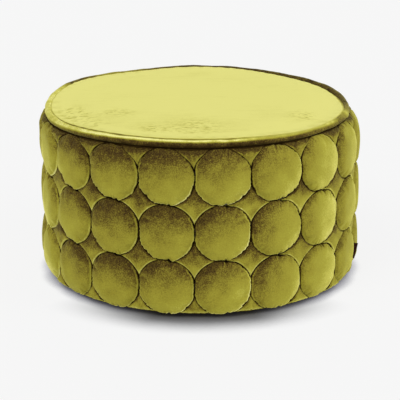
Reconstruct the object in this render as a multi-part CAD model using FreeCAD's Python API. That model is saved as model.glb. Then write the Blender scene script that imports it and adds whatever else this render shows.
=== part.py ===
import FreeCAD, Part
import math
import os

# Round upholstered pouf. Millimetres, +Z up, origin on the floor at the centre of the base.
# A column seam of the quilted side faces -Y. Soft pieces are built from flat facets.

os.makedirs("parts", exist_ok=True)

V = FreeCAD.Vector

# Clearances
fit = 0.3              # between pieces that press or slide together
joint_clearance = 0.2  # round a tab in its slot, and round a driven staple

# Carcass
board_radius = 318.0
board_thickness = 15.0
rib_count = 8
rib_thickness = 18.0
rib_width = 80.0       # along the radius
rib_tab_width = 50.0
wall_thickness = 3.0

# Upholstery inside the cover
side_foam_thickness = 25.5
seat_foam_thickness = 50.0
backing_thickness = 1.0

# Quilted side
row_count = 3
row_pitch = 127.0
column_width = 124.0   # what one column takes of the girth at the backing cloth
puff_height = 28.0     # crown above the backing cloth
puff_arc_facets = 3    # facets on each round stretch of a puff's outline
seam_rise = 6.4        # from the backing cloth up to where puffs meet side by side
shoulder_rise = 15.0   # up to where puffs of two rows part
crown_drop = 4.8       # from the flat of the crown down to its rounded edge
pressed_sideways = 3.6  # how far the free round outline would pass the seam beside it
pressed_upright = 2.5   # and the seam above or below
gusset_rise = 10.5     # crown above the edge between two flats of the backing cloth
gusset_inset = 0.88    # outline of a gusset as a share of the opening between four puffs

# Top
piping_radius = 9.5
piping_facets = 8
facets_per_column = 3  # round the top edge
panel_thickness = 2.0
panel_crown = 3.6
panel_seam_share = 0.82  # seam line above the middle of the piping, as a share of its radius

# Underside
glide_height = 6.0
glide_radius = 14.0
glide_chamfer = 1.5
glide_count = 6
glide_inset = 63.0     # middle of a glide in from the board's edge
hem_thickness = 2.0
hem_margin = 68.0      # how far the cover is turned in under the base
dust_cover_inset = 12.0
dust_cover_thickness = 0.8
staple_count = 16
staple_inset = 23.0
staple_width = 10.0
staple_wire = 0.9
staple_leg = 8.0

# Sewn-in tab
tab_height = 38.0
tab_depth = 15.0
tab_thickness = 1.6
tab_above_hem = 35.0
tab_seam_number = 4    # column seams counted anticlockwise from the one that faces -Y

# Radii, from the carcass outwards
wall_inner = board_radius + fit
wall_outer = wall_inner + wall_thickness
side_foam_inner = wall_outer + fit
backing_inner = side_foam_inner + side_foam_thickness   # to the flats
backing_outer = backing_inner + backing_thickness       # to the flats
column_count = round(2 * math.pi * backing_outer / column_width)
column_angle = 360.0 / column_count
half_column = math.radians(column_angle / 2)
edge_facets = facets_per_column * column_count
backing_corner = backing_outer / math.cos(half_column)
piping_circle = backing_inner + backing_thickness / 2
piping_corner = piping_radius / math.cos(math.pi / piping_facets)
wadding_radius = piping_circle - piping_radius - fit

glide_circle = board_radius - glide_inset
dust_cover_radius = board_radius - dust_cover_inset
staple_circle = board_radius - staple_inset

# Ribs stand with their outer edge against the wall
rib_inner = math.sqrt(wall_inner ** 2 - (rib_thickness / 2) ** 2) - fit - rib_width
rib_tab_inner = rib_inner + (rib_width - rib_tab_width) / 2

# Heights, from the floor up
dust_cover_bottom = glide_height
hem_bottom = dust_cover_bottom + dust_cover_thickness + staple_wire
board_bottom = hem_bottom + hem_thickness
board_top = board_bottom + board_thickness
side_bottom = glide_height
side_top = side_bottom + row_count * row_pitch
seat_foam_top = side_top - fit / 2
seat_foam_bottom = seat_foam_top - seat_foam_thickness
seat_board_top = seat_foam_bottom
seat_board_bottom = seat_board_top - board_thickness
piping_middle = side_top + fit / 2 + piping_radius
panel_seam = piping_middle + piping_radius * panel_seam_share

# One puff's cell: half its width where the puffs meet, half its height, and the free outline
opening_half_width = (backing_outer + seam_rise) * math.tan(half_column)
opening_half_height = row_pitch / 2
cell_half_width = opening_half_width - fit / 2
cell_half_height = opening_half_height - fit / 2
outline_half_width = cell_half_width + pressed_sideways
outline_half_height = cell_half_height + pressed_upright
side_flat_angle = math.acos(cell_half_width / outline_half_width)
row_flat_angle = math.asin(cell_half_height / outline_half_height)


def save(node, shape):
    shape.exportStep(os.path.join("parts", node + ".step"))


def ring(inner, outer, bottom, top):
    tube = Part.makeCylinder(outer, top - bottom, V(0, 0, bottom))
    return tube.cut(Part.makeCylinder(inner, top - bottom, V(0, 0, bottom)))


def turned(shape, degrees):
    copy = shape.copy()
    copy.rotate(V(0, 0, 0), V(0, 0, 1), degrees)
    return copy


def around(shape, count, first):
    return [turned(shape, first + 360.0 / count * k) for k in range(count)]


def face_through(points):
    return Part.Face(Part.makePolygon(points + points[:1]))


def solid_of(faces):
    shell = Part.makeShell(faces)
    shell.sewShape()
    solid = Part.makeSolid(shell)
    if solid.Volume < 0:
        solid.reverse()
    return solid


# Flat faces that join each outline to the next; every outline has as many points
def bands(outlines):
    faces = []
    for low, high in zip(outlines, outlines[1:]):
        for k in range(len(low)):
            faces.append(face_through([low[k - 1], low[k], high[k], high[k - 1]]))
    return faces


def solid_through(outlines):
    return solid_of(bands(outlines) + [face_through(outlines[0]), face_through(outlines[-1])])


# Closed outline with its corners on a circle, level at this height
def level_outline(radius, height, count):
    points = []
    for k in range(count):
        angle = 2 * math.pi * k / count - math.pi / 2
        points.append(V(radius * math.cos(angle), radius * math.sin(angle), height))
    return points


# A prism with one flat for each column of puffs
def flat_sided(apothem, bottom, top):
    corner = apothem / math.cos(half_column)
    return solid_through([level_outline(corner, height, column_count) for height in (bottom, top)])


# Carcass: two round boards on upright ribs, with a thin wall bent round them

def rib_shape():
    height = seat_board_bottom - board_top
    rib = Part.makeBox(rib_width, rib_thickness, height, V(rib_inner, -rib_thickness / 2, board_top))
    tab = Part.makeBox(
        rib_tab_width,
        rib_thickness,
        height + 2 * board_thickness,
        V(rib_tab_inner, -rib_thickness / 2, board_bottom),
    )
    return rib.fuse(tab).removeSplitter()


def rib_slots(bottom):
    slot = Part.makeBox(
        rib_tab_width + 2 * joint_clearance,
        rib_thickness + 2 * joint_clearance,
        board_thickness,
        V(rib_tab_inner - joint_clearance, -rib_thickness / 2 - joint_clearance, bottom),
    )
    return around(slot, rib_count, 180.0 / rib_count)


def base_board():
    board = Part.makeCylinder(board_radius, board_thickness, V(0, 0, board_bottom))
    return board.cut(Part.makeCompound(rib_slots(board_bottom) + staple_slots()))


def seat_board():
    board = Part.makeCylinder(board_radius, board_thickness, V(0, 0, seat_board_bottom))
    return board.cut(Part.makeCompound(rib_slots(seat_board_bottom)))


# Soft layers under the cover

def side_foam():
    core = Part.makeCylinder(side_foam_inner, seat_foam_bottom - board_bottom, V(0, 0, board_bottom))
    return flat_sided(backing_inner, board_bottom, seat_foam_bottom).cut(core)


def backing_cloth():
    outside = flat_sided(backing_outer, board_bottom, seat_foam_top)
    return outside.cut(flat_sided(backing_inner, board_bottom, seat_foam_top))


def seat_foam():
    radius = backing_inner - fit
    heights = (seat_foam_bottom, seat_foam_top)
    return solid_through([level_outline(radius, height, edge_facets) for height in heights])


# Level outlines of a crowned round sheet, from its edge to the rim of its flat middle
def crown(edge_radius, edge_height):
    outlines = []
    for share in (1.0, 0.75, 0.4):
        height = edge_height + panel_crown * (1 - share ** 2)
        outlines.append(level_outline(edge_radius * share, height, edge_facets))
    return outlines


def seat_wadding():
    base = level_outline(wadding_radius, seat_foam_top, edge_facets)
    return solid_through([base] + crown(wadding_radius, panel_seam - panel_thickness - fit))


# How far out the panel reaches at this height before it meets the piping
def panel_reach(height):
    return piping_circle - math.sqrt(piping_corner ** 2 - (height - piping_middle) ** 2) - fit


def top_panel():
    under = panel_seam - panel_thickness
    return solid_through(crown(panel_reach(under), under)[::-1] + crown(panel_reach(panel_seam), panel_seam))


# Quilted side: puffs pressed together, and four-pointed gussets in the openings between them

# Round outline with a flat at each of the four seams, as (across, up) from its middle
def puff_outline(share):
    points = []
    for quarter in range(4):
        start, end = side_flat_angle, row_flat_angle
        if quarter % 2:
            start, end = math.pi / 2 - row_flat_angle, math.pi / 2 - side_flat_angle
        for k in range(puff_arc_facets + 1):
            angle = quarter * math.pi / 2 + start + (end - start) * k / puff_arc_facets
            across = outline_half_width * share * math.cos(angle)
            up = outline_half_height * share * math.sin(angle)
            points.append((across, up))
    return points


def upright(distance, points):
    return [V(distance, across, up) for across, up in points]


def puff_row(row):
    levels = [
        (0.0, 0.90),
        (seam_rise, 1.0),
        (shoulder_rise, 1.0),
        (puff_height - crown_drop, 0.80),
        (puff_height, 0.45),
    ]
    puff = solid_through([upright(backing_outer + rise, puff_outline(share)) for rise, share in levels])
    puff.translate(V(0, 0, side_bottom + row_pitch * (row + 0.5)))
    return Part.makeCompound(around(puff, column_count, column_angle / 2 - 90))


# Four-pointed star about a seam crossing, or its upper or lower half
def gusset_outline(share, has_upper, has_lower):
    side_tip = opening_half_width - outline_half_width * math.cos(row_flat_angle)
    row_tip = opening_half_height - outline_half_height * math.sin(side_flat_angle)
    reach = math.hypot(opening_half_width / outline_half_width, opening_half_height / outline_half_height)
    waist_across = opening_half_width * (1 - 1 / reach)
    waist_up = opening_half_height * (1 - 1 / reach)
    points = [(side_tip, 0)]
    if has_upper:
        points += [(waist_across, waist_up), (0, row_tip), (-waist_across, waist_up)]
    points.append((-side_tip, 0))
    if has_lower:
        points += [(-waist_across, -waist_up), (0, -row_tip), (waist_across, -waist_up)]
    return [(across * share * gusset_inset, up * share * gusset_inset) for across, up in points]


# Seam 0 is the hem
def gusset_row(seam, has_upper, has_lower):
    levels = [(fit, 0.85), (gusset_rise * 0.55, 1.0), (gusset_rise, 0.5)]
    outlines = []
    for rise, share in levels:
        outlines.append(upright(backing_corner + rise, gusset_outline(share, has_upper, has_lower)))
    gusset = solid_through(outlines)
    gusset.translate(V(0, 0, side_bottom + row_pitch * seam))
    return Part.makeCompound(around(gusset, column_count, -90))


# Piping round the top edge

def piping_roll():
    outlines = []
    for k in range(piping_facets + 1):
        angle = 2 * math.pi * (k + 0.5) / piping_facets
        radius = piping_circle + piping_corner * math.cos(angle)
        height = piping_middle + piping_corner * math.sin(angle)
        outlines.append(level_outline(radius, height, edge_facets))
    return solid_of(bands(outlines))


# Underside

def staple_slots():
    slot = Part.makeBox(
        staple_wire + 2 * joint_clearance,
        staple_width + 2 * joint_clearance,
        hem_thickness + staple_leg,
        V(staple_circle - staple_wire / 2 - joint_clearance, -staple_width / 2 - joint_clearance, hem_bottom),
    )
    return around(slot, staple_count, 180.0 / staple_count)


def cover_hem():
    whole = flat_sided(backing_outer, hem_bottom, board_bottom)
    inside = flat_sided(backing_outer - hem_margin, hem_bottom, board_bottom)
    return whole.cut(Part.makeCompound([inside] + staple_slots()))


def hem_staples():
    bottom = hem_bottom - staple_wire
    height = staple_wire + hem_thickness + staple_leg - joint_clearance
    start = staple_circle - staple_wire / 2
    whole = Part.makeBox(staple_wire, staple_width, height, V(start, -staple_width / 2, bottom))
    inside = Part.makeBox(
        staple_wire,
        staple_width - 2 * staple_wire,
        height,
        V(start, staple_wire - staple_width / 2, hem_bottom),
    )
    return Part.makeCompound(around(whole.cut(inside), staple_count, 180.0 / staple_count))


def floor_glides():
    profile = [
        V(0, 0, 0),
        V(glide_radius - glide_chamfer, 0, 0),
        V(glide_radius, 0, glide_chamfer),
        V(glide_radius, 0, glide_height),
        V(0, 0, glide_height),
    ]
    glide = face_through(profile).revolve(V(0, 0, 0), V(0, 0, 1), 360)
    glide.translate(V(glide_circle, 0, 0))
    return Part.makeCompound(around(glide, glide_count, 180.0 / glide_count))


# Folded ribbon tab, standing in a column seam of the bottom row

def side_tab():
    start = backing_corner + gusset_rise + fit
    bottom = side_bottom + tab_above_hem
    tab = Part.makeBox(tab_depth, tab_thickness, tab_height, V(start, -tab_thickness / 2, bottom))
    return turned(tab, column_angle * tab_seam_number - 90)


save("base_board", base_board())
save("seat_board", seat_board())
for k, rib in enumerate(around(rib_shape(), rib_count, 180.0 / rib_count)):
    save("frame_rib_%d" % (k + 1), rib)
save("drum_wall", ring(wall_inner, wall_outer, board_bottom, seat_foam_bottom))
save("side_foam", side_foam())
save("seat_foam", seat_foam())
save("seat_wadding", seat_wadding())
save("backing_cloth", backing_cloth())
for row, node in enumerate(["puffs_bottom_row", "puffs_middle_row", "puffs_top_row"]):
    save(node, puff_row(row))
save("gussets_at_hem", gusset_row(0, True, False))
save("gussets_lower", gusset_row(1, True, True))
save("gussets_upper", gusset_row(2, True, True))
save("gussets_under_piping", gusset_row(row_count, False, True))
save("piping_roll", piping_roll())
save("top_panel", top_panel())
save("cover_hem", cover_hem())
save("dust_cover", Part.makeCylinder(dust_cover_radius, dust_cover_thickness, V(0, 0, dust_cover_bottom)))
save("hem_staples", hem_staples())
save("floor_glides", floor_glides())
save("side_tab", side_tab())
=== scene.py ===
from math import cos, degrees, exp, pi, radians, sin, sqrt, tan

import bpy
import numpy as np
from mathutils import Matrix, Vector, noise


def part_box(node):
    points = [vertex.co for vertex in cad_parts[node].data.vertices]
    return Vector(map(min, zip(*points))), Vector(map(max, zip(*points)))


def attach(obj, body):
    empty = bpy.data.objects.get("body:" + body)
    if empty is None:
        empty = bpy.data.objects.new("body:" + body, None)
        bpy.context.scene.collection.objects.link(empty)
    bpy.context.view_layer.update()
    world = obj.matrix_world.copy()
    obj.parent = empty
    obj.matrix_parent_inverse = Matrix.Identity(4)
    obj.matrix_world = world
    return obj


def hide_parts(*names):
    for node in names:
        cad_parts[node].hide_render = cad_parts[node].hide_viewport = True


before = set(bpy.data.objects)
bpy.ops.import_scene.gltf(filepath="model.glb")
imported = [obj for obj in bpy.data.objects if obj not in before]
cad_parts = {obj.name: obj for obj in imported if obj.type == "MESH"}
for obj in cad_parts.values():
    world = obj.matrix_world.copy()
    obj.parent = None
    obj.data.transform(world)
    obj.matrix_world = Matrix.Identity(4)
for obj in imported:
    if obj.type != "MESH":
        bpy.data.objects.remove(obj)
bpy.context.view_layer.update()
scene = bpy.context.scene
print("frame loaded:", len(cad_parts), "nodes")


# Camera: the photograph's viewing angle, fitted to the crossings of the quilted side
camera = {
    "turn": 1.85,  # degrees to the right of the front seam
    "rise": 17.07,  # degrees above level
    "distance": 4.414,  # m from the point aimed at
    "aim": (0, 0, 0.186),
    "lens": 167.0,
    "shift": (0.0005, -0.025),
}


def lookFrom(rig, turn, rise, distance, target=(0, 0, 0)):
    # sets a camera or a lamp up on this side, turned to the target
    turn, rise = radians(turn), radians(rise)
    back = Vector((sin(turn) * cos(rise), -cos(turn) * cos(rise), sin(rise)))
    rig.location = Vector(target) + back * distance
    rig.rotation_mode = "QUATERNION"
    rig.rotation_quaternion = (-back).to_track_quat("-Z", "Y")
    scene.collection.objects.link(rig)


def placeCamera(settings):
    lens = bpy.data.cameras.new("camera")
    lens.lens = settings["lens"]
    lens.shift_x, lens.shift_y = settings["shift"]
    lens.clip_end = 60
    rig = bpy.data.objects.new("camera", lens)
    lookFrom(rig, settings["turn"], settings["rise"], settings["distance"], settings["aim"])
    scene.camera = rig


placeCamera(camera)
scene.view_settings.view_transform = "Standard"
print("camera placed")


# Shader maths
class Wire:
    # a node's output that can be added, multiplied and so on
    def __init__(self, finish, socket):
        self.finish, self.socket = finish, socket

    def maths(self, operation, first, second):
        return self.finish.node("Math", {0: first, 1: second}, {"operation": operation})

    def __add__(self, other):
        return self.maths("ADD", self, other)

    __radd__ = __add__

    def __sub__(self, other):
        return self.maths("SUBTRACT", self, other)

    def __rsub__(self, other):
        return self.maths("SUBTRACT", other, self)

    def __mul__(self, other):
        return self.maths("MULTIPLY", self, other)


class Tree:
    # the nodes of a material or of the world
    def __init__(self, owner):
        owner.use_nodes = True
        self.tree = owner.node_tree
        self.tree.nodes.clear()

    def node(self, kind, values=None, settings=None, out=0):
        made = self.tree.nodes.new("ShaderNode" + kind)
        for key, value in (settings or {}).items():
            if key == "stops":
                self.setStops(made.color_ramp, value)
            else:
                setattr(made, key, value)
        for key, value in (values or {}).items():
            if isinstance(value, Wire):
                self.tree.links.new(value.socket, made.inputs[key])
            else:
                made.inputs[key].default_value = value
        return Wire(self, made.outputs[out]) if made.outputs else None

    def blend(self, share, first, second):
        return self.node("MixShader", {0: share, 1: first, 2: second})

    def setStops(self, ramp, stops):
        while len(ramp.elements) < len(stops):
            ramp.elements.new(1)
        for element, (place, colour) in zip(ramp.elements, stops):
            element.position, element.color = place, colour


class Finish(Tree):
    def __init__(self, name):
        self.material = bpy.data.materials.new(name)
        super().__init__(self.material)

    def place(self, stretch=(1, 1, 1)):
        where = self.node("TexCoord", out=3)
        return self.node("Mapping", {"Vector": where, "Scale": stretch})

    def cloud(self, where, scale, detail=2, roughness=0.5):
        # noise about zero, from roughly -0.5 to 0.5
        values = {"Vector": where, "Scale": scale, "Detail": detail, "Roughness": roughness}
        return self.node("TexNoise", values) - 0.5

    def cells(self, where, scale, out=0, **more):
        return self.node("TexVoronoi", {"Vector": where, "Scale": scale, **more}, out=out)

    def wave(self, where, direction, scale, distortion):
        values = {"Vector": where, "Scale": scale, "Distortion": distortion}
        return self.node("TexWave", values, {"bands_direction": direction})

    def attribute(self, name):
        return self.node("Attribute", settings={"attribute_name": name}, out=2)

    def ramp(self, value, stops):
        # a colour of three parts is dyed first
        stops = [(place, colour if len(colour) == 4 else dye(*colour)) for place, colour in stops.items()]
        return self.node("ValToRGB", {0: value}, {"stops": stops})

    def mixed(self, share, first, second):
        return self.node("Mix", {0: share, 6: first, 7: second}, {"data_type": "RGBA"}, out=2)

    def bump(self, height, distance, strength=1):
        return self.node("Bump", {"Height": height, "Distance": distance, "Strength": strength})

    def surface(self, **sockets):
        values = {key.replace("_", " "): value for key, value in sockets.items()}
        return self.node("BsdfPrincipled", values)

    def brushed(self, colour, uneven, sheen, spread, relief):
        return self.surface(Base_Color=colour, Roughness=0.8 + uneven * 0.2, Sheen_Weight=sheen, Sheen_Roughness=spread,
                            Sheen_Tint=velvet["tint"], Specular_IOR_Level=0.1, Normal=relief)

    def plain(self, tone, stops, roughness, relief, depth, strength, **more):
        # coloured by tone and raised by relief
        bump = self.bump(relief, depth, strength)
        return self.show(self.surface(Base_Color=self.ramp(tone, stops), Roughness=roughness, Normal=bump, **more))

    def show(self, surface):
        self.node("OutputMaterial", {"Surface": surface})
        return self.material


def dye(red, green, blue):
    # a colour as an image shows it, 0 to 255, for a node
    parts = [part / 255 for part in (red, green, blue)]
    return tuple(part / 12.92 if part <= 0.04045 else ((part + 0.055) / 1.055) ** 2.4 for part in parts) + (1,)


black, white = (0, 0, 0), (255, 255, 255)

velvet = {
    "paintedCreaseShade": dye(44, 32, 12),  # painted shade inside a crease
    "dark": dye(52, 36, 10),
    "brown": dye(88, 72, 22),
    "olive": dye(140, 131, 42),
    "lime": dye(160, 154, 54),
    "pale": dye(196, 191, 88),
    "glint": dye(228, 224, 140),
    "tint": dye(222, 218, 120),
}


def velvetFinish(name, speckle, blotch):
    f = Finish(name)
    nap = f.attribute("nap")
    where = f.place()
    fine = f.cloud(where, 390, 2, 0.7)
    patch = f.cloud(where, 110, 3, 0.65)
    broad = f.cloud(where, 24, 2, 0.5)
    # mottled where the tone and painted shade are dark, nearly even where they are pale
    mottled = nap.maths("MAXIMUM", 1.0 - nap * 1.1, 0.28)
    unrest = mottled * (fine * speckle + patch * blotch) + broad * 0.14
    stops = {0.02: velvet["dark"], 0.24: velvet["brown"], 0.5: velvet["olive"],
             0.72: velvet["lime"], 0.91: velvet["pale"], 1.0: velvet["glint"]}
    pile = f.cloud(where, 1300, 1) * 0.5 + fine * 0.6 + patch * 0.5
    brushed = f.brushed(f.ramp(nap + unrest, stops), patch, 0.5, 0.35, f.bump(pile, 0.0008, 0.5))
    # painted shade: where the value is near nought, in the creases, a plain dark diffuse stands in for the shade there
    crease = f.node("BsdfDiffuse", {"Color": velvet["paintedCreaseShade"]})
    return f.show(f.blend(f.ramp(nap, {0.01: black, 0.1: white}), crease, brushed))


def panelFinish():
    # the top panel's velvet, painted paler than the side's for the stronger light and sheen on top, with streaks
    # brushed one way
    f = Finish("topVelvetPaintedPaler")
    nap = f.attribute("nap")
    where = f.place()
    streak = f.cloud(f.place((2.2, 26, 3)), 7, 4, 0.62)
    patch = f.cloud(where, 12, 3, 0.6)
    fine = f.cloud(where, 260, 2, 0.6)
    dashes = f.cloud(f.place((1, 2.4, 1)), 64, 2, 0.6)
    marks = f.ramp(0.5 + dashes, {0.52: black, 0.63: white})
    tone = nap + streak * 0.16 + patch * 0.12 + fine * 0.1 - f.attribute("worn") * marks
    stops = {0.1: velvet["dark"], 0.4: velvet["olive"], 0.74: (190, 185, 88), 0.96: (219, 215, 124)}
    relief = f.bump(f.cloud(where, 1500, 1) + f.cloud(where, 160, 2), 0.0006, 0.4)
    return f.show(f.brushed(f.ramp(tone, stops), fine, 0.2, 0.4, relief))


def foamFinish():
    f = Finish("foam")
    where = f.place()
    cells = f.cells(where, 900.0)
    tone = 0.5 + f.cloud(where, 14, 3) * 0.7 + (cells - 0.3) * 0.3
    return f.plain(tone, {0.2: (226, 208, 150), 0.8: (242, 230, 182)}, 0.92, cells, 0.0006, 0.6)


def waddingFinish():
    f = Finish("wadding")
    fibres = f.cloud(f.place((1, 7, 1)), 120, 4, 0.7) + f.cloud(f.place((6, 1, 1)), 90, 4, 0.7)
    return f.plain(0.5 + fibres * 0.5, {0.2: (224, 224, 220), 0.8: (246, 246, 243)}, 0.95, fibres, 0.0012, 0.7)


def clothFinish(name, first, second, threads):
    # plain weave of raw cloth: threads a metre
    f = Finish(name)
    where = f.place()
    weave = f.wave(where, "Z", threads / 20, 0.4) * f.wave(f.place((1, 1, 0)), "DIAGONAL", threads / 20, 0.4)
    return f.plain(weave + f.cloud(where, 30, 3) * 0.5, {0.1: first, 0.7: second}, 0.9, weave, 0.0003, 0.6)


def chipboardFinish():
    f = Finish("particleBoard")
    where = f.place()
    bright = f.node("SeparateColor", {0: f.cells(where, 210.0, out=1)})
    tone = bright * 0.5 + 0.25 + f.cloud(where, 340, 3) * 0.4
    stops = {0.1: (150, 118, 74), 0.5: (196, 164, 114), 0.9: (220, 194, 148)}
    return f.plain(tone, stops, 0.72 + f.cloud(where, 90) * 0.2, tone, 0.0004, 0.5)


def plywoodFinish():
    f = Finish("plywood")
    grain = f.cloud(f.place((1, 1, 0.06)), 160, 4, 0.6)
    figure = f.cloud(f.place((1, 1, 0.12)), 22, 3, 0.5)
    stops = {0.15: (172, 136, 88), 0.55: (208, 176, 124), 0.9: (226, 200, 152)}
    return f.plain(0.5 + grain * 0.5 + figure * 0.6, stops, 0.66 + grain * 0.2, grain, 0.0003, 0.4)


def hardboardFinish():
    f = Finish("hardboard")
    fibre = f.cloud(f.place(), 420, 4, 0.7) + f.cloud(f.place((1, 1, 5)), 60, 3) * 0.6
    stops = {0.1: (104, 74, 46), 0.9: (146, 110, 74)}
    return f.plain(0.5 + fibre * 0.6, stops, 0.7 + fibre * 0.15, fibre, 0.0003, 0.4)


def dustCoverFinish():
    # black non-woven cloth, pressed with small dots
    f = Finish("dustCoverCloth")
    where = f.place()
    dots, fibre = f.cells(where, 420.0, Randomness=0.15), f.cloud(where, 700, 3, 0.7)
    tone, relief = dots * 1.3 + fibre * 0.6, dots + fibre * 0.5
    return f.plain(tone, {0.2: (20, 20, 21), 0.9: (44, 44, 46)}, 0.85 + fibre * 0.1, relief, 0.0004, 0.6)


def steelFinish():
    f = Finish("stapleWire")
    scratch = f.cloud(f.place((1, 1, 12)), 900, 3, 0.6)
    stops = {0.1: (150, 150, 152), 0.9: (206, 206, 208)}
    return f.plain(0.5 + scratch * 0.6, stops, 0.34 + scratch * 0.25, scratch, 0.00005, 0.3, Metallic=1.0)


def glideFinish():
    f = Finish("glidePlastic")
    grain, scuff = f.cloud(f.place(), 1400, 2), f.cloud(f.place((1, 6, 1)), 120, 4, 0.7)
    tone = 0.45 + scuff * 0.8 + grain * 0.2
    return f.plain(tone, {0.2: (20, 20, 20), 0.9: (58, 57, 55)}, 0.5 + scuff * 0.4, grain, 0.0002, 0.5)


def ribbonFinish():
    f = Finish("tabRibbon")
    ribs = f.wave(f.place(), "Z", 60.0, 0.3)
    thread = f.cloud(f.place((2, 2, 1)), 900, 2)
    stops = {0.0: (28, 6, 4), 0.7: (54, 17, 11), 1.0: (80, 34, 24)}
    return f.plain(ribs * 0.7 + thread * 0.5, stops, 0.7 + thread * 0.2, ribs + thread * 0.4, 0.0003, 0.6,
                   Specular_IOR_Level=0.15)


# Meshes
settle = {
    "aside": 0.0065,  # m to the left at the top
    "from": 0.325,  # m high
    "to": 0.4,
    # dips round the edge: degrees, width, depth, height from which they grow
    "dips": [(48, 30, 0.0014, 0.325), (90, 20, -0.0022, 0.325), (152, 16, -0.0038, 0.325), (115, 12, 0.0018, 0.325),
             (-158, 28, 0.0075, 0.325), (-38, 22, 0.0055, 0.384), (-2, 18, 0.006, 0.384)],
}


def settled(points):
    # the soft top sits a little to the left and dips in places
    x, y, z = points.T
    azimuth, outer = np.degrees(np.arctan2(y, x)), smooth(0.25, 0.33, np.hypot(x, y))
    moved = points.copy()
    moved[:, 0] -= settle["aside"] * smooth(settle["from"], settle["to"], z)
    for middle, width, depth, low in settle["dips"]:
        off = (azimuth - middle + 180) % 360 - 180
        moved[:, 2] -= depth * bell(off, width) * smooth(low, settle["to"], z) * outer
    return moved


def newObject(name, points, faces):
    mesh = bpy.data.meshes.new(name)
    mesh.from_pydata(points, [], faces)
    made = bpy.data.objects.new(name, mesh)
    scene.collection.objects.link(made)
    return made


def mark(piece, name, values):
    piece.data.attributes.new(name, "FLOAT", "POINT").data.foreach_set("value", values.astype(np.float32))


def addPiece(name, points, faces, slotName, material, replaced=(), nap=None):
    piece = newObject(name, settled(points).tolist(), faces)
    piece.data.update()
    piece.data.shade_smooth()
    piece.data.materials.append(material)
    # the values of tone and painted light and shade, as a point attribute
    if nap is not None:
        mark(piece, "nap", nap)
    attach(piece, "root")
    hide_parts(*replaced)
    return piece


def normalsOf(points, faces):
    # a normal for each point, from the faces round it
    total = np.zeros_like(points)
    quads = np.array([face if len(face) == 4 else (*face, face[-1]) for face in faces])
    across = points[quads[:, 2]] - points[quads[:, 0]]
    along = points[quads[:, 3]] - points[quads[:, 1]]
    flat = np.cross(across, along)
    for corner in range(4):
        np.add.at(total, quads[:, corner], flat)
    return total / np.maximum(np.linalg.norm(total, axis=1, keepdims=True), 1e-12)


def roughness(points, size, seed):
    # smooth noise from about -1 to 1 at each point
    shift = Vector((seed * 3.7, seed * 1.9, seed * 5.3))
    return np.array([noise.noise(Vector(p) / size + shift) for p in points])


def smooth(low, high, value):
    x = np.clip((value - low) / (high - low), 0, 1)
    return x * x * (3 - 2 * x)


def bell(offset, width, power=2):
    return np.exp(-(offset / width) ** power)


def fromTable(table, degrees):
    # the other columns of a table, between its rows at these degrees
    keys = np.array(table)
    return [np.interp(degrees, keys[:, 0], column) for column in keys.T[1:]]


def middleOf(box):
    return (box[0][2] + box[1][2]) / 2


def polar(radius, angle, height):
    return np.stack([radius * np.cos(angle), radius * np.sin(angle), height], 1)


def pairs(loop):
    return zip(loop, loop[1:] + loop[:1])


def quadGrid(rows, width, flip=False):
    # the faces of a grid of points, and the points round its rim
    faces = [(k, k + width, k + width + 1, k + 1) for i in range(rows) for k in range(i * width, (i + 1) * width - 1)]
    grid = np.arange((rows + 1) * width).reshape(-1, width)
    rim = np.concatenate([grid[:-1, 0], grid[-1, :-1], grid[:0:-1, -1], grid[0, :0:-1]]).tolist()
    if flip:
        faces, rim = [(face[0], *face[:0:-1]) for face in faces], [rim[0], *rim[:0:-1]]
    return faces, rim


def joined(parts):
    # several (points, faces, tone and painted light) as one
    points, faces, nap, start = [], [], [], 0
    for part in parts:
        points.append(part[0])
        faces += [tuple(start + i for i in face) for face in part[1]]
        nap.append(part[2])
        start += len(part[0])
    return np.concatenate(points), faces, np.concatenate(nap)


# The quilted side's layout, from the frame
columns = 18
cellAngle = 2 * pi / columns
columnMiddle = [-pi / 2 + cellAngle * (k + 0.5) for k in range(columns)]
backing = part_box("backing_cloth")
backingCorner = backing[1][1]
backingFlat = backingCorner * cos(cellAngle / 2)
rowNames = ["puffs_bottom_row", "puffs_middle_row", "puffs_top_row"]
rowMiddle = [middleOf(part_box(name)) for name in rowNames]
rowPitch = rowMiddle[1] - rowMiddle[0]
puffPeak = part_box("puffs_middle_row")[1][0] - backingFlat
drumEdge = 2 * backingFlat * tan(cellAngle / 2) * columns


def ontoSide(azimuth, level, points):
    # from a cell's own plane: across to the right seen from outside, up, and out
    across, up, out = points.T
    away = backingFlat + out
    x = away * cos(azimuth) - across * sin(azimuth)
    y = away * sin(azimuth) + across * cos(azimuth)
    return np.stack([x, y, level + up], 1)


puff = {
    "cells": 54,  # across one puff
    "radius": 0.0657,  # free outline
    "gap": 0.00025,  # left between neighbours
    "domeShare": 0.84,  # of the grid's rings are over the widest line
    "sideHeight": 0.009,  # widest line above the backing, beside a neighbour
    "rowHeight": 0.0145,  # the same where two rows press together
    "edgeHeight": 0.0075,  # the same under the piping and at the hem
    "seamHeight": 0.002,
    "tuck": 0.08,  # how far the seam lies inside the widest line
    "lobes": {2: 0.006, 3: 0.005},  # how uneven the outline is
    "ripples": {0.3: 0.014, 0.1: 0.012},
    "lumps": (0.0012, 0.045),  # height and size, on the dome
    "bowed": 0.0045,  # the top row leans in under the piping
    "drawnIn": 0.0085,  # the lowest row below, at the drum's sides
    "variants": 3,  # for each row
    "sunk": 0.005,  # lower before the filling presses it out
    "extraCloth": 0.03,
    "pressure": 2.5,
    "frames": 20,
    "cap": 0.0045,  # furthest that the cloth may move
}


def wrappedGrid(cells):
    # a square grid wound into rings: share of the radius, angle, faces and rim
    step = np.linspace(-1, 1, cells + 1)
    a, b = (part.ravel() for part in np.meshgrid(step, step, indexing="ij"))
    share = np.maximum(abs(a), abs(b))
    safe = np.maximum(share, 1e-9)
    flatter = abs(a) >= abs(b)
    angle = np.where(flatter, pi / 4 * b / safe * np.sign(a), pi / 2 - pi / 4 * a / safe * np.sign(b))
    angle += pi * np.where(flatter, a < 0, b < 0)
    return share, angle, *quadGrid(cells, cells + 1)


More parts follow.
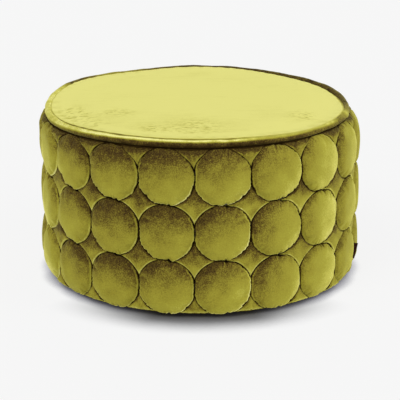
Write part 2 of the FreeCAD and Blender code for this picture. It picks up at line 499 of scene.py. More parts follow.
def domeProfile(share):
    # along a flat-topped dome's section, closer near its edge, as shares of its radius
    turn = np.linspace(0, pi / 2, 200)
    out, up = np.sin(turn) ** 0.5, 0.31 * np.cos(turn)
    length = np.concatenate([[0], np.cumsum(np.hypot(np.diff(out), np.diff(up)))])
    along = np.clip(share / puff["domeShare"], 0, 1)
    return np.interp(1.2 * along - 0.2 * along ** 5, length / length[-1], out)


def softMinimum(*sizes):
    return sum(size ** -36.0 for size in sizes) ** (-1 / 36)


def puffForm(row, seed):
    # one puff in its cell's plane: x to the right, y up, z outwards
    rng = np.random.default_rng(seed)
    share, angle, faces, rim = wrappedGrid(puff["cells"])
    cosine, sine = np.maximum(abs(np.cos(angle)), 1e-6), np.maximum(abs(np.sin(angle)), 1e-6)
    halfWidth = (backingFlat + puff["sideHeight"]) * tan(cellAngle / 2)
    outline = softMinimum(puff["radius"] + 0 * cosine, halfWidth / cosine, rowPitch / 2 / sine)
    phases = rng.uniform(0, 6, 2)
    lobes = zip(puff["lobes"].items(), phases)
    outline = outline * (1 + sum(depth * np.sin(count * angle + phase) for (count, depth), phase in lobes))
    circle = polar(1, angle, 0 * angle)
    outline *= 1 + sum(depth * roughness(circle, size, seed) for size, depth in puff["ripples"].items())
    below, above = (puff["edgeHeight" if row == end else "rowHeight"] for end in (0, len(rowNames) - 1))
    pressed = smooth(0.84, 0.965, sine)
    height = puff["sideHeight"] + pressed * (np.where(np.sin(angle) > 0, above, below) - puff["sideHeight"])
    dome = domeProfile(share)
    under = np.clip((share - puff["domeShare"]) / (1 - puff["domeShare"]), 0, 1) * pi / 2
    radius = outline * (dome - puff["tuck"] * (1 - np.cos(under)))
    out = height + (puffPeak - height) * np.maximum(1 - dome ** 4, 0) ** (0.5 + 0.13 * np.cos(angle) ** 2)
    if row == len(rowNames) - 1:
        out -= puff["bowed"] * smooth(0.45, 1, dome * np.sin(angle)) * np.cos(under)
    out -= (height - puff["seamHeight"]) * np.sin(under)
    points = polar(radius, angle, out)
    height, size = puff["lumps"]
    points[:, 2] += (1 - smooth(0.8, 1, dome)) * height * roughness(points, size, seed)
    return dict(points=points, faces=faces, rim=rim, share=share, angle=angle, dome=dome)


stuffing = {"quality": 6, "mass": 0.12, "tension_stiffness": 14, "compression_stiffness": 10, "shear_stiffness": 5,
            "bending_stiffness": 0.15, "air_damping": 2, "shrink_min": -puff["extraCloth"], "use_pressure": True,
            "uniform_pressure_force": puff["pressure"], "vertex_group_mass": "sewn"}


def stuff(name, points, faces, pinned):
    # lets the filling press the cloth out, with the sewn edge held
    piece = newObject(name, points.tolist(), faces)
    piece.vertex_groups.new(name="sewn").add([int(i) for i in np.flatnonzero(pinned)], 1.0, "REPLACE")
    cloth = piece.modifiers.new("stuffing", "CLOTH")
    for key, value in stuffing.items():
        setattr(cloth.settings, key, value)
    cloth.settings.effector_weights.gravity = 0
    cloth.collision_settings.use_collision = False
    cloth.point_cache.frame_start, cloth.point_cache.frame_end = 1, puff["frames"]
    for tick in range(1, puff["frames"] + 1):
        scene.frame_set(tick)
    shaped = piece.evaluated_get(bpy.context.evaluated_depsgraph_get()).to_mesh()
    moved = np.zeros(len(points) * 3, np.float32)
    shaped.vertices.foreach_get("co", moved)
    bpy.data.objects.remove(piece)
    scene.frame_set(1)
    shift = moved.reshape(-1, 3) - points
    far = np.linalg.norm(shift, axis=1, keepdims=True)
    print(name, "moved up to %.1f mm" % (far.max() * 1000))
    return points + shift * np.minimum(1, puff["cap"] / np.maximum(far, 1e-9))


folds = {
    "top": (5, 8),  # how many: at least, and fewer than
    "bottom": (2, 5),
    "place": (0.004, 0.017),  # middle and spread, along the outline
    "width": (0.002, 0.0034),
    "start": (0.6, 0.82),  # share of the dome
    "depth": (0.001, 0.0026),
}


def foldEdges(form, seed):
    # short folds that fan out from the top and bottom of a puff
    rng = np.random.default_rng(seed + 500)
    points, angle, dome = form["points"], form["angle"], form["dome"]
    form["folds"] = np.zeros(len(points))
    for side, count in ((1, folds["top"]), (-1, folds["bottom"])):
        along = np.angle(np.exp(1j * (angle - side * pi / 2))) * puff["radius"]
        for _ in range(rng.integers(*count)):
            x = (along - rng.normal(*folds["place"])) / rng.uniform(*folds["width"])
            fold = (1 - 1.6 * x * x) * np.exp(-x * x) * smooth(rng.uniform(*folds["start"]), 0.99, dome)
            fold *= rng.uniform(*folds["depth"])
            points[:, 2] -= fold
            form["folds"] += fold


def makePuffs(row):
    variants = []
    for number in range(puff["variants"]):
        seed = 10 * row + number + 1
        form = puffForm(row, seed)
        sewn = form["share"] >= puff["domeShare"]
        form["points"][:, 2] -= puff["sunk"] * (1 - smooth(0.7, 1, form["dome"]))
        form["points"] = stuff("puff_%d_%d" % (row, number), form["points"], form["faces"], sewn)
        foldEdges(form, seed)
        variants.append(form)
    return variants


contact = {
    "step": (0.0012, 0.0024),  # where two rows meet: the line's drop at a small notch
    "place": (0.003, 0.011),  # right of the column's middle
    "notch": (0.0027, 0.0024, 0.0045),  # its width, its depth across and inwards
    "bow": (0.0004, 0.0007),  # where two columns meet: the line's bow and lean, middle and spread
    "lean": (0, 0.0008),
    "lift": 0.0058,  # on the right, between a puff's edge and the one below it
}


def junction(column, level):
    rng = np.random.default_rng(4000 + 40 * level + column)
    return rng.uniform(*contact["step"]), rng.uniform(*contact["place"])


def sideways(seam, row, height):
    # how far a seam between two columns runs aside at this height
    rng = np.random.default_rng(7000 + 40 * row + seam % columns)
    bow, lean = rng.normal(*contact["bow"]), rng.normal(*contact["lean"])
    share = height / 0.02
    return (bow * (1 - 1.5 * share ** 2) + lean * share) * np.exp(-share ** 4 / 4)


def lift(facing, across):
    # just right of its middle a puff's edge leaves the one below it early
    share = smooth(0.003, 0.017, across) * (1 - smooth(0.024, 0.05, across))
    return contact["lift"] * smooth(0, 0.3, facing) * share


def pressTogether(points, dome, column, row):
    # the flats and notches where a puff meets its neighbours
    across, up, out = points.T
    width, upward, inward = contact["notch"]
    for side in (1, -1):
        level = row + (side == 1)
        step, place = junction(column, level)
        outer = level in (0, len(rowNames))
        near = smooth(0.55, 1, side * up / (rowPitch / 2))
        line = np.zeros(len(points)) if outer else (
            -step * np.tanh((across - place) / 0.0035) * (1 - smooth(0.016, 0.026, abs(across))))
        up += line * near
        if side == -1 and not outer:
            up += lift(cos(columnMiddle[column]), across) * near
        pull = bell(across - place, width) * smooth(0.8, 0.99, dome) * (side * up > 0)
        up -= side * pull * upward
        out -= pull * inward
        up[:] = side * np.minimum(side * up, rowPitch / 2 - puff["gap"] + side * line)
    for side in (1, -1):
        line = sideways(column + (side == 1), row, up)
        limit = (backingFlat + out) * tan(cellAngle / 2) - puff["gap"]
        across += line * smooth(0.55, 1, side * across / limit)
        across[:] = side * np.minimum(side * across, limit + side * line)


pile = {
    # painted light and shade by how far a puff faces right: the value at none, its slope, and steps in it (size, from,
    # to)
    "tone": (0.49, 0.1, [(0.17, 0.5, 0.75), (0.05, 0.95, 1), (0.32, -0.65, -0.95), (0.05, -0.85, -0.96)]),
    "above": (0.6, 0, [(-0.46, 0, 0.6), (-0.24, -0.8, -0.95)]),  # painted shade, darker up there
    "below": (0.22, 0, [(-0.15, 0.5, 0.8)]),  # painted light, paler down there
    "lean": (0.075, 0.17, [(-0.07, -0.6, -0.95)]),  # painted light, paler to its right
    "rim": (0.34, 0, [(-0.22, 0.3, 0.8)]),  # a painted highlight, the pale line along its lower edge
    "most": (1.1, 0, [(-0.2, 0.2, 0.6)]),
    "least": 0.12,
    "inFold": 145,  # painted shade in folds: darker by this for each metre of fold
    "unevenness": (0.1, 0.03),
}


def paintedLightByFacing(name, facing):
    start, slope, steps = pile[name]
    return start + slope * facing + sum(size * smooth(low, high, facing) for size, low, high in steps)


def puffToneAndPaintedLight(points, faces, form, column, rng):
    # painted light and shade: darker towards the top and one side, paler low down and on puffs facing right, darker in
    # folds and near the upper edge of right-facing puffs, a painted highlight along the lower and outer edges, painted
    # shade at the sewn edge; plus random unevenness
    facing, dome = cos(columnMiddle[column]), form["dome"]
    right, up = (points / puff["radius"] + normalsOf(points, faces)).T[:2]
    up = up / 2
    paintedLightAndTone = paintedLightByFacing("tone", facing) - paintedLightByFacing("above", facing) * np.maximum(up, 0)
    paintedLightAndTone += paintedLightByFacing("below", facing) * np.maximum(-up, 0) ** 0.5
    lean = paintedLightByFacing("lean", facing) * (1 - 0.35 * smooth(0.9, 1, facing))
    paintedLightAndTone += (lean + rng.uniform(-0.04, 0.04)) * right
    depth, size = pile["unevenness"]
    paintedLightAndTone += depth * roughness(points, size, rng.integers(1, 90)) + rng.uniform(-0.03, 0.03)
    low, outer = -np.sin(form["angle"]), np.cos(form["angle"]) * np.sign(facing)
    paintedLightAndTone -= pile["inFold"] * form["folds"]
    paintedLightAndTone -= 0.14 * smooth(0.7, 0.97, dome) * smooth(0.35, 0.9, -low) * smooth(0.2, 0.6, facing)
    # painted highlight along the lower and outer edges
    rim = smooth(0.954, 0.966, dome) * (1 - smooth(0.978, 0.987, dome)) * paintedLightByFacing("rim", facing)
    paintedLightAndTone += rim * np.minimum(smooth(-0.2, 0.3, low) + smooth(0.5, 0.9, outer), 1)
    # painted shade at the sewn edge, down to the crease colour
    return np.clip(paintedLightAndTone, pile["least"], paintedLightByFacing("most", facing)) * (1 - smooth(0.985, 0.995, dome))


def placePuff(form, column, row, rng):
    points, faces, rim = form["points"].copy(), form["faces"], form["rim"]
    across, up, out = points.T
    if rng.random() < 0.3:
        across *= -1
        faces, rim = [face[::-1] for face in faces], rim[::-1]
    out *= 1 + rng.uniform(-0.03, 0.03)
    if row == 0:
        share = smooth(0.25, 1, -up / puff["radius"]) * smooth(0, 0.02, out)
        out -= puff["drawnIn"] * cos(columnMiddle[column]) ** 2 * share
    pressTogether(points, form["dome"], column, row)
    nap = puffToneAndPaintedLight(points, faces, form, column, rng)
    # the back, against the backing cloth
    points = np.concatenate([points, [[0, 0, puff["seamHeight"] * 0.6]]])
    middle = len(points) - 1
    back = [(middle, b, a) for a, b in pairs(rim)]
    return ontoSide(columnMiddle[column], rowMiddle[row], points), faces + back, np.append(nap, 0)


sideVelvet = velvetFinish("sideVelvet", 1.35, 0.45)
for row, name in enumerate(rowNames):
    rng = np.random.default_rng(70 + row)
    variants = makePuffs(row)
    parts = [placePuff(variants[rng.integers(len(variants))], column, row, rng) for column in range(columns)]
    points, faces, nap = joined(parts)
    made = addPiece("quilt_" + name, points, faces, "velvet", sideVelvet, [name], nap)
    print(name, len(faces), "faces")


# Gussets: the four-pointed pads between the puffs
gusset = {
    "rows": 34,
    "across": 28,
    "puffRadius": 0.0632,  # the puffs' outline, less what is tucked under them
    "crown": 0.3655,  # from the axis
    "tipFall": 0.005,  # lower towards the upper and lower points
    "edgeFall": 0.0065,  # lower beside the puffs
    "edgeWidth": 0.0065,
    "thickness": 0.004,
    "lumps": (0.0008, 0.02),
    "creased": 0.45,  # share of them with a soft crease down the middle
    "crease": 0.0014,
    "sewnIn": 0.0135,  # the half ones, under the piping and at the hem
    "gather": 0.0012,
    # whole, upper half, lower half: the pile's tone, its painted shade towards the top, its painted shade when tilted
    # up
    "pile": {0: (0.37, 0.36, 0.55), 1: (0.62, 0.36, 0.35), -1: (0.31, 0.16, 0.35)},
    # a painted highlight near their lower edges, for whole ones, upper halves, lower halves
    "rim": {0: 0.24, 1: 0.084, -1: 0.084},
}
gussetPlane = backingFlat + 0.0065
gussetHalfWide = gussetPlane * tan(cellAngle / 2)


def gussetGrid(part):
    # points in a gusset's plane; part is 1 or -1 for its upper or lower half only
    halfHigh, radius = rowPitch / 2, gusset["puffRadius"]
    reach = halfHigh - sqrt(radius ** 2 - gussetHalfWide ** 2)
    low, high = (0 if part == 1 else -1), (0 if part == -1 else 1)
    rows = gusset["rows"] if part == 0 else gusset["rows"] // 2
    t, x = np.linspace(low, high, rows + 1), np.sin(np.linspace(-1, 1, gusset["across"] + 1) * pi / 2)
    y = reach * np.sign(t) * abs(t) ** 1.3
    chord = np.sqrt(np.maximum(radius ** 2 - (halfHigh - abs(y)) ** 2, 0))
    halfSpan = np.maximum(gussetHalfWide - chord, 0.0002)
    across = (x[None, :] * halfSpan[:, None]).ravel()
    up = (y[:, None] + 0 * x[None, :]).ravel()
    return across, up, up / reach, *quadGrid(rows, gusset["across"] + 1, flip=True)


def gussetForm(seam, level, part, seed):
    rng = np.random.default_rng(seed)
    across, up, share, faces, loop = gussetGrid(part)
    height, size = gusset["lumps"]
    clear = np.hypot(gussetHalfWide - abs(across), rowPitch / 2 - abs(up)) - gusset["puffRadius"]
    if part == 0:
        clear += lift(cos(seam), gussetHalfWide + across) * (across < 0) * smooth(-0.004, 0.002, up)
    edge = (1 - np.clip(clear / gusset["edgeWidth"], 0, 1)) ** 2
    spot = np.stack([across, up, 0 * up], 1)
    away = gusset["crown"] - gusset["tipFall"] * share ** 2 - gusset["edgeFall"] * edge
    away += (0.0012 * rng.uniform(-0.5, 1) + height * roughness(spot, size, seed % 97)) * (1 - edge)
    if rng.random() < gusset["creased"]:
        away -= gusset["crease"] * bell(across - rng.uniform(-0.003, 0.003), 0.0025) * bell(up, 0.022)
    z = level + up
    if part:
        # gathered where it is sewn in
        away -= gusset["sewnIn"] * bell(up, 0.0055)
        pitch, phase = rng.uniform(0.001, 0.0013), rng.uniform(0, 6, 2)
        wave = np.sin(across / pitch + phase[0]) + 0.7 * np.sin(across / 0.0019 + phase[1])
        away += gusset["gather"] * bell(up, 0.018) * wave
        z = z + part * 0.0006
    turn = cellAngle / 2 - np.arctan((gussetHalfWide - abs(across)) / gussetPlane)
    azimuth = seam + np.sign(across) * turn
    outward = polar(1, azimuth, 0 * azimuth)
    points = polar(away, azimuth, z)
    x, y, tilt = normalsOf(points, faces).T
    right = y * np.cos(azimuth) - x * np.sin(azimuth)
    tone, fall, shade = gusset["pile"][part]
    # painted light and shade: darker towards the top and where tilted up, paler to the right and on the drum's right
    # side, a painted highlight near the lower edges, painted shade beside the puffs and along a half one's sewn line;
    # plus random unevenness
    nap = tone - fall * share - shade * tilt + 0.12 * right
    nap += 0.2 * roughness(spot, 0.018, seed % 89) + 0.16 * max(cos(seam), 0)
    rim = smooth(0.0032, 0.004, clear) * (1 - smooth(0.0048, 0.0062, clear)) * (share < 0.1)
    nap = np.clip(nap + gusset["rim"][part] * rim, pile["least"], 0.92) * smooth(0.0023, 0.0032, clear)
    if part:
        nap *= smooth(0.0008, 0.0026, abs(up))
    # a back, so that the pad is closed
    start = len(points)
    back = [tuple(start + i for i in face[::-1]) for face in faces]
    sides = [(a, start + a, start + b, b) for a, b in pairs(loop)]
    points = np.concatenate([points, points - gusset["thickness"] * outward])
    return points, faces + back + sides, np.concatenate([nap, nap * 0])


def makeGussets():
    edge = rowPitch / 2
    levels = {
        "gussets_at_hem": (rowMiddle[0] - edge, 1),
        "gussets_lower": (rowMiddle[0] + edge, 0),
        "gussets_upper": (rowMiddle[1] + edge, 0),
        "gussets_under_piping": (rowMiddle[2] + edge, -1),
    }
    for order, (name, (level, part)) in enumerate(levels.items()):
        seams = [middle + cellAngle / 2 for middle in columnMiddle]
        parts = [gussetForm(seam, level, part, 1000 * order + 7 * k + 3) for k, seam in enumerate(seams)]
        points, faces, nap = joined(parts)
        addPiece("quilt_" + name, points, faces, "velvet", sideVelvet, [name], nap)


makeGussets()
print("gussets made")


# Pieces turned round the axis
def turned(section, steps):
    # section(azimuth) gives a closed loop of (radius, height) points
    points, faces = [], []
    for k in range(steps):
        azimuth = 2 * pi * k / steps
        radius, height = section(azimuth).T
        points.append(polar(radius, azimuth, height))
        size = len(radius)
        here, there = k * size, (k + 1) % steps * size
        faces += [(here + i, there + i, there + j, here + j) for i, j in pairs(list(range(size)))]
    return np.concatenate(points), faces


def thereAndBack(out, back):
    # a closed section from two lines, each (radii, heights)
    return np.concatenate([np.stack(out, 1), np.stack(back, 1)[::-1]])


def ringNoise(azimuth, scale, height=0.0):
    return noise.noise(Vector((cos(azimuth), sin(azimuth), height)) * scale)


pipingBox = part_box("piping_roll")
pipingLevel = middleOf(pipingBox)
piping = {
    "tube": (pipingBox[1][2] - pipingBox[0][2]) / 2,
    "steps": 440,
    "sides": 26,
    "lump": 0.0014,
    "wander": 0.0016,  # in and out
    "rise": 0.00096,  # up and down
    "flange": 0.0075,  # the sleeve's seam allowance, sewn down behind the quilting
    "flangeThickness": 0.0012,
    "joint": -12,  # degrees from +X, where the sleeve's ends meet
    # painted light and shade round the ring: degrees, the value on top, low down, and where it turns
    "paintedLightAndTone": [(-180, 0.93, 0.66, -0.2), (-160, 0.9, 0.42, 0.1), (-140, 0.9, 0.28, 0.3), (-120, 1.1, 0.12, 0.5),
               (-104, 1.02, 0.04, 0.52), (-90, 1.02, 0.02, 0.58), (-74, 0.98, 0.02, 0.5), (-60, 0.74, 0.07, 0.58),
               (-40, 0.84, 0.16, 0.78), (-28, 0.88, 0.24, 0.66), (-22, 0.32, 0.12, 0.7), (-17, 0.48, 0.2, 0.6),
               (-12, 0.62, 0.5, 0.2), (-5, 0.3, 0.22, 0.2), (3, 0.12, 0.08, 0.2), (60, 0.12, 0.1, 0.2),
               (95, 0.12, 0.1, 0.2), (108, 0.2, 0.16, 0.2), (120, 0.42, 0.34, 0.1), (136, 0.5, 0.4, 0),
               (142, 0.16, 0.12, 0), (155, 0.18, 0.12, 0), (160, 0.74, 0.56, 0), (166, 0.93, 0.76, 0),
               (180, 0.93, 0.66, -0.2)],
    # where the pile is crushed and blotchy, and where the seam shades it: degrees, width, depth
    "crushed": [(5, 36, 0.16), (148, 12, 0.256)],
    "shaded": (-100, 30, 0.8),
}
pipingRadius = pipingBox[1][1] - piping["tube"]


def facetRadius(azimuth, flat):
    # the radius of the eighteen-sided drum with its sides this far out
    across = (azimuth - columnMiddle[0] + cellAngle / 2) % cellAngle - cellAngle / 2
    return flat / cos(across)


def pipingSection(azimuth):
    lump = piping["lump"] * ringNoise(azimuth, 9, 0.4)
    wander, rise = piping["wander"] * ringNoise(azimuth, 2.5), piping["rise"] * ringNoise(azimuth, 3.1, 2)
    turn = np.linspace(-pi / 2, 1.5 * pi, piping["sides"] + 1)
    wrinkle = np.array([ringNoise(azimuth, 40, 2 * cos(a) / 40) for a in turn]) * 0.0004
    fromJoint = degrees(azimuth) - piping["joint"] % 360
    tube = piping["tube"] + lump + wrinkle + 0.0009 * exp(-(fromJoint / 1.6) ** 4)
    radius = pipingRadius + wander + tube * np.cos(turn)
    height = pipingLevel + rise + tube * np.sin(turn)
    inner = facetRadius(azimuth, backingFlat) + 0.0006
    outer = inner + piping["flangeThickness"]
    level = backing[1][2]
    radius[0], radius[-1] = radius[0] + 0.0012, radius[-1] - 0.0008
    radius = np.concatenate([[outer, outer], radius, [inner, inner]])
    foot = level - piping["flange"]
    height = np.concatenate([[foot, level - 0.0008], height, [level + 0.0003, foot]])
    return np.stack([radius, height], 1)


def makePiping():
    points, faces = turned(pipingSection, piping["steps"])
    x, y, z = points.T
    tilt = normalsOf(points, faces)[:, 2]
    azimuth = np.degrees(np.arctan2(y, x))
    # painted light and shade: paler on top of the roll, darker low down, by the table, with blotches where the pile is
    # crushed
    top, low, turn = fromTable(piping["paintedLightAndTone"], azimuth)
    low = low + 0.09 * smooth(-0.5, 0.4, tilt)
    nap = low + (top - low) * smooth(turn - 0.24, turn + 0.24, tilt) + 0.12 * roughness(points, 0.016, 12)
    nap += 0.2 * bell(azimuth - piping["joint"], 1.8, 4)
    crushed = sum(depth * bell(azimuth - middle, width, 4) for middle, width, depth in piping["crushed"])
    nap += roughness(points, 0.009, 17) * crushed
    # painted shade of the seam on the roll's inner side in front
    middle, width, depth = piping["shaded"]
    outward = (np.hypot(x, y) - pipingRadius) / piping["tube"]
    nap *= 1 - depth * (1 - smooth(0, 0.36, outward)) * bell(azimuth - middle, width, 4)
    # painted shade: the roll's underside fades to the crease colour
    nap = np.clip(nap, 0.05, 1.2) * smooth(-1.05, -0.4, (z - pipingLevel) / piping["tube"])
    addPiece("piping", points, faces, "velvet", sideVelvet, ["piping_roll"], nap)


makePiping()


# Top panel: velvet stretched over the crowned wadding
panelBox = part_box("top_panel")
panel = {
    "cells": 116,
    "thickness": 0.0016,
    "overlap": 0.0026,  # the edge turns down into the seam beside the piping
    "seamDip": 0.003,
    "unevenness": 0.0006,
    "crownPower": 0.7,
    "smudges": [(-0.27, -0.14, 0.035), (-0.24, -0.21, 0.035), (-0.29, -0.09, 0.03), (0.0, -0.24, 0.055),
                (-0.09, -0.26, 0.03), (0.25, -0.13, 0.03), (-0.18, -0.12, 0.03)],
    "nick": (0.115, -0.322, 0.006, 0.0045),
    "band": (0.03816, 0.00954, 0.08),  # a painted highlight, a slightly paler ring: from the edge, width, depth
    # round the seam: degrees, how far it runs out over the piping, and the width and depth of the painted shade along
    # its edge
    "edge": [(-180, 0, 0.0026, 0.45), (-165, 0.002, 0.003, 0.7), (-145, 0.004, 0.003, 0.7),
             (-120, 0.002, 0.008, 0.95), (-104, 0.001, 0.008, 0.86), (-90, 0, 0.011, 0.68), (-76, 0, 0.008, 0.92),
             (-62, 0.001, 0.005, 0.6), (-52, 0.003, 0.003, 0.3), (-28, 0.004, 0.0026, 0.15), (-8, 0.003, 0.0035, 0.35),
             (6, 0, 0.01, 0.8), (18, -0.004, 0.008, 0.8), (45, -0.004, 0.01, 0.8), (60, -0.002, 0.008, 0.75),
             (75, 0, 0.004, 0.6), (120, 0, 0.003, 0.45), (180, 0, 0.0026, 0.45)],
}
panelRadius = panelBox[1][1]
panelEdge = panelBox[0][2] + 0.002
panelCrown = panelBox[1][2] - panelEdge


def panelHeight(share):
    return panelEdge + panelCrown * (1 - share ** 2) ** panel["crownPower"]


def makePanel():
    step, angle, faces = wrappedGrid(panel["cells"])[:3]
    share = 1.16 * step - 0.16 * step ** 6  # closer near the edge
    turn = np.degrees(np.arctan2(np.sin(angle), np.cos(angle)))
    extra, width, depth = fromTable(panel["edge"], turn)
    radius = share * (panelRadius + panel["overlap"] + extra)
    points = polar(radius, angle, panelHeight(np.minimum(radius / panelRadius, 1)) + 0.0004)
    x, y, z = points.T
    distance = panelRadius + panel["overlap"] + extra - radius
    inside = np.clip(distance / (0.0018 + width), 0, 1)
    dip = panel["seamDip"] * (1 - inside) ** 2 * (1 - 200 * extra)
    z += 0.55 * extra * smooth(0.02, 0.004, distance) - dip
    z += panel["unevenness"] * roughness(points, 0.09, 5) * (1 - share ** 4)
    gathers = np.sin(angle * 61 + 3 * np.sin(angle * 5)) * smooth(0.9, 0.985, share) * inside
    z += 0.0004 * gathers
    smudge = sum(bell(x - a, size) * bell(y - b, size) for a, b, size in panel["smudges"])
    uneven = np.maximum(roughness(points * (1, 1.3, 1), 0.012, 8) - 0.12, 0)
    nap = 0.97 + 0.05 * roughness(points, 0.12, 3) - 0.35 * smudge * uneven + 0.05 * gathers
    a, b, long, wide = panel["nick"]
    nap -= 0.6 * bell(x - a, long) * bell(y - b, wide)
    nap -= 0.05 * smooth(0.2, 1, -y / panelRadius)
    middle, spread, paler = panel["band"]
    nap += paler * bell(distance - middle, spread)
    # painted shade along the seam's edge
    nap = np.clip(nap, 0.2, 1.2) * (1 - (1 - smooth(0.3, 1, inside)) * depth)
    made = addPiece("topPanel", points, faces, "velvet", topVelvetPaintedPaler, ["top_panel"], nap)
    mark(made, "worn", smudge * 0.36)
    shell = made.modifiers.new("thickness", "SOLIDIFY")
    shell.thickness, shell.offset = panel["thickness"], -1


topVelvetPaintedPaler = panelFinish()
makePanel()
print("piping and top panel made")


# The underside
hem = {"margin": 0.068, "thickness": 0.0014, "pleats": 72, "pleatDepth": 0.0004, "lip": 0.006, "notched": 0.92}
cover = {"thickness": 0.0006, "sag": 0.0001, "turnedIn": 0.014}
hemBox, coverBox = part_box("cover_hem"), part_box("dust_cover")


def hemSection(azimuth):
    # the velvet comes round the drum's lower edge and lies pleated under the base board
    outer = facetRadius(azimuth, backingFlat) + 0.0006
    inner = facetRadius(azimuth, backingFlat) - hem["margin"] + 0.003 * ringNoise(azimuth, 9)
    middle, thick = middleOf(hemBox), hem["thickness"]
    share = np.linspace(0, 1, 12)
    fold = abs(sin(azimuth * hem["pleats"] / 2 + sin(7 * azimuth))) ** 0.4 - 0.75
    rise = hem["pleatDepth"] * fold * np.sin(np.minimum(share * 2.5, 1) * pi / 2)
    radius = outer + thick + (inner - outer - thick) * share
    lip = middle + hem["lip"]
    flat = thereAndBack((radius, middle - thick / 2 - rise), (np.minimum(radius, outer), middle + thick / 2 - rise))
    return np.concatenate([flat, [(outer, lip), (outer + thick, lip)]])


def coverSection(azimuth):
    share = np.linspace(0.0005, 1, 60)
    edge = coverBox[1][1] - 0.001 + 0.0008 * ringNoise(azimuth, 14)
    radius = share * edge
    sag = cover["sag"] * np.array([ringNoise(azimuth, 6 * value) for value in share])
    folded = 0.0001 * smooth(0, 0.0012, radius - edge + cover["turnedIn"])
    middle, half = middleOf(coverBox), cover["thickness"] / 2
    return thereAndBack((radius, middle - half + sag - folded), (radius, middle + half + sag))


def makeUnderside():
    points, faces = turned(hemSection, 720)
    nap = 0.45 + 0.12 * roughness(points, 0.04, 31)
    velvetHem = addPiece("turnedHem", points, faces, "velvet", sideVelvet, ["cover_hem"], nap)
    drumEdge * (hem["margin"] + hem["lip"]) * hem["notched"]
    dust = addPiece("dustCover", *turned(coverSection, 300), "dust_cover", dustCoverFinish(), ["dust_cover"])


makeUnderside()


# The soft pieces inside
def foamSection(box, inner, outer):
    # a foam ring or disc with eased edges and slightly uneven faces
    low, high = box[0][2] + 0.0002, box[1][2] - 0.0002
    ease = min(0.006, (high - low) / 4)
    slight = ease * 0.3
    heights = np.linspace(low + ease, high - ease, 12)

    def section(azimuth):
        near, far = inner(azimuth), outer(azimuth)
        uneven = 0.0003 * abs(np.array([ringNoise(azimuth, 6, 9 * height) for height in heights]))
        bottom = [(near + slight, low + slight), (near + ease, low), (far - ease, low), (far - slight, low + slight)]
        top = [(far - slight, high - slight), (far - ease, high), (near + ease, high), (near + slight, high - slight)]
        sides = list(zip(far - uneven, heights)), list(zip(near + uneven, heights))[::-1]
        return np.array(bottom + sides[0] + top + sides[1])
    return section


def waddingSection(azimuth):
    share = np.linspace(0.0005, 1, 60)
    radius = share * (panelRadius - 0.006)
    tufts = np.array([abs(ringNoise(azimuth, 24 * value)) for value in share])
    top = panelHeight(radius / panelRadius) - panel["thickness"] - 0.0014 - 0.0008 * tufts
    top -= 0.004 * smooth(0.96, 1, share)
    return thereAndBack((radius, 0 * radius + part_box("seat_wadding")[0][2] + 0.0002), (radius, top))


def backingSection(azimuth):
    # pulled in a little at each row's stitching
    heights = np.linspace(backing[0][2], backing[1][2], 40)
    level = (heights - rowMiddle[0] + rowPitch / 2) / rowPitch
    outer = facetRadius(azimuth, backingFlat) - 0.0003 * bell(level - np.round(level), 0.06)
    return thereAndBack((outer, heights), (outer - 0.0007, heights))


def makeInside():
    seatBox, wallEdge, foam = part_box("seat_foam"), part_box("drum_wall")[1][1], foamFinish()
    side = foamSection(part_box("side_foam"), lambda a: wallEdge + 0.0002,
                       lambda a: facetRadius(a, backingFlat - 0.0014))
    addPiece("sideFoam", *turned(side, 360), "foam", foam, ["side_foam"])
    seat = foamSection(seatBox, lambda a: 0.0001, lambda a: seatBox[1][1] - 0.0004)
    addPiece("seatFoam", *turned(seat, 240), "foam", foam, ["seat_foam"])
    wadding = addPiece("seatWadding", *turned(waddingSection, 240), "wadding", waddingFinish(), ["seat_wadding"])
    calico = clothFinish("calico", (196, 184, 156), (222, 212, 188), 1400)
    lining = addPiece("backingCloth", *turned(backingSection, 360), "backing_cloth", calico, ["backing_cloth"])


makeInside()
print("underside and inside made")


# The ribbon tab, folded in two and sewn into a column seam
tab = {
    "seam": 4,  # counted round to the right from the front one
    "root": 0.008,  # inside the seam
    "beyond": 0.0015,  # loose, so it stands out a little further than its solid
    "ply": 0.0006,
    "rows": 26,
    "curl": 0.0004,
    "slant": 0.008,  # its lower corner hangs closer in
}
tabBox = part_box("side_tab")


def quad(start, first, second, flipped):
    face = (start, start + first, start + first + second, start + second)
    return face[::-1] if flipped else face


def makeTab():
    azimuth = -pi / 2 + tab["seam"] * cellAngle
    low, high = tabBox[0][2], tabBox[1][2]
    tip = tabBox[1][0] / cos(azimuth) + tab["beyond"]
    root = backingCorner + tab["root"]
    bend = tab["ply"] * 1.05
    # both faces of the cloth, out along one side and back along the other
    along = np.linspace(root, tip - bend, 12)
    turn = np.linspace(-pi / 2, pi / 2, 9)[1:-1]
    points, faces = [], []
    for z in np.linspace(low, high, tab["rows"]):
        wave = tab["curl"] * sin((z - low) * 95)
        slant = tab["slant"] * (high - z) / (high - low)
        for ply in (bend, bend - tab["ply"]):
            radius = np.concatenate([along, tip - bend + ply * np.cos(turn), along[::-1]])
            across = np.concatenate([0 * along - ply, ply * np.sin(turn), 0 * along + ply])
            share = (radius - root) / (tip - root)
            points.append(polar(radius - slant * share, azimuth, z + 0 * radius))
            points[-1] += polar(across + wave * share, azimuth + pi / 2, 0 * radius)
    size, last = len(radius), tab["rows"] - 1
    for i in range(last):
        faces += [quad((2 * i + side) * size + j, 1, 2 * size, side) for side in (0, 1) for j in range(size - 1)]
        faces += [quad(2 * i * size + j, 2 * size, size, j) for j in (0, size - 1)]
    for i in (0, last):
        faces += [quad(2 * i * size + j, size, 1, i) for j in range(size - 1)]
    made = addPiece("ribbonTab", np.concatenate(points), faces, "tab", ribbonFinish(), ["side_tab"])
    reach = tip - root - tab["slant"] / 2
    2 * reach


makeTab()


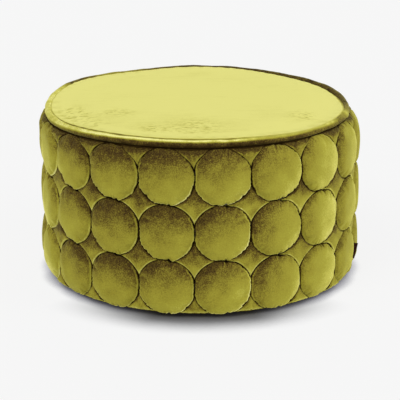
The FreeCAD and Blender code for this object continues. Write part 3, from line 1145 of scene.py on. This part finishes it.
# Finishes for the hard pieces of the frame
def finishNodes():
    ribs = ["frame_rib_%d" % (k + 1) for k in range(8)]
    finishes = [(chipboardFinish(), ["base_board", "seat_board"]), (plywoodFinish(), ribs),
                (hardboardFinish(), ["drum_wall"]), (steelFinish(), ["hem_staples"]),
                (glideFinish(), ["floor_glides"])]
    for finish, names in finishes:
        for name in names:
            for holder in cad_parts[name].material_slots:
                holder.material = finish


finishNodes()
print("tab made and frame finished")


# Floor, backdrop and light
light = {
    "backdrop": (0.9216, 0.9216, 0.9216, 1),  # 246 of 255 on screen
    "world": 0.6,
    "floor": 8,  # half its width
    "shadows": (0.045, 0.1),  # how far they reach beside and in front
    # degrees to the right of the front, degrees up, strength, degrees across
    "suns": {"key": (-38, 48, 1.3, 28), "side": (78, 24, 1.2, 30)},
}


def addSun(name, turn, rise, strength, angle):
    sun = bpy.data.lights.new(name, "SUN")
    sun.energy, sun.angle = strength, radians(angle)
    lookFrom(bpy.data.objects.new(name, sun), turn, rise, 3)


def makeWorld():
    world = bpy.data.worlds.new("studio")
    w = Tree(world)
    # rays from the camera, mirrored or passing through
    seen, *others = [w.node("LightPath", out=number) for number in (0, 3, 6)]
    for ray in others:
        seen = seen.maths("MAXIMUM", seen, ray)
    plain = w.node("Background", {"Color": (1, 1, 1, 1), "Strength": light["world"]})
    bright = w.node("Background", {"Color": light["backdrop"]})
    w.node("OutputWorld", {"Surface": w.blend(seen, plain, bright)})
    scene.world = world


def makeFloor():
    half = light["floor"]
    corners = [(-half, -half, 0), (half, -half, 0), (half, half, 0), (-half, half, 0)]
    floor = newObject("floor", corners, [(0, 1, 2, 3)])
    f = Finish("floorPaper")
    pale = light["backdrop"]
    # a painted shadow: for the camera the floor gives off its own light, darker where nearby parts close it in, and the
    # shadow reaches further out in front
    turn = f.node("TexGradient", {"Vector": f.place()}, {"gradient_type": "RADIAL"}, out=1)
    front = f.ramp(turn, {0.11: black, 0.21: white, 0.31: white, 0.4: black})
    close, wide = (f.node("AmbientOcclusion", {"Distance": reach}, {"samples": 16}, out=1)
                   for reach in light["shadows"])
    beside = f.ramp(close, {0.1: (60, 60, 68), 0.4: (176, 176, 182), 0.7: pale})
    before = f.ramp(wide, {0.2: (22, 20, 20), 0.36: (56, 55, 57), 0.55: (85, 85, 87), 0.62: (110, 110, 112),
                           0.68: (140, 140, 142), 0.75: (177, 177, 178), 0.81: (200, 200, 201), 0.97: pale})
    paintedShadow = f.node("Emission", {"Color": f.mixed(front, beside, before)})
    paper = f.node("BsdfDiffuse", {"Color": pale})
    seen = f.node("LightPath", out=0) * 0.94
    floor.data.materials.append(f.show(f.blend(seen, paper, paintedShadow)))


makeWorld()
makeFloor()
for name, values in light["suns"].items():
    addSun(name, *values)
print("stage and lights made")
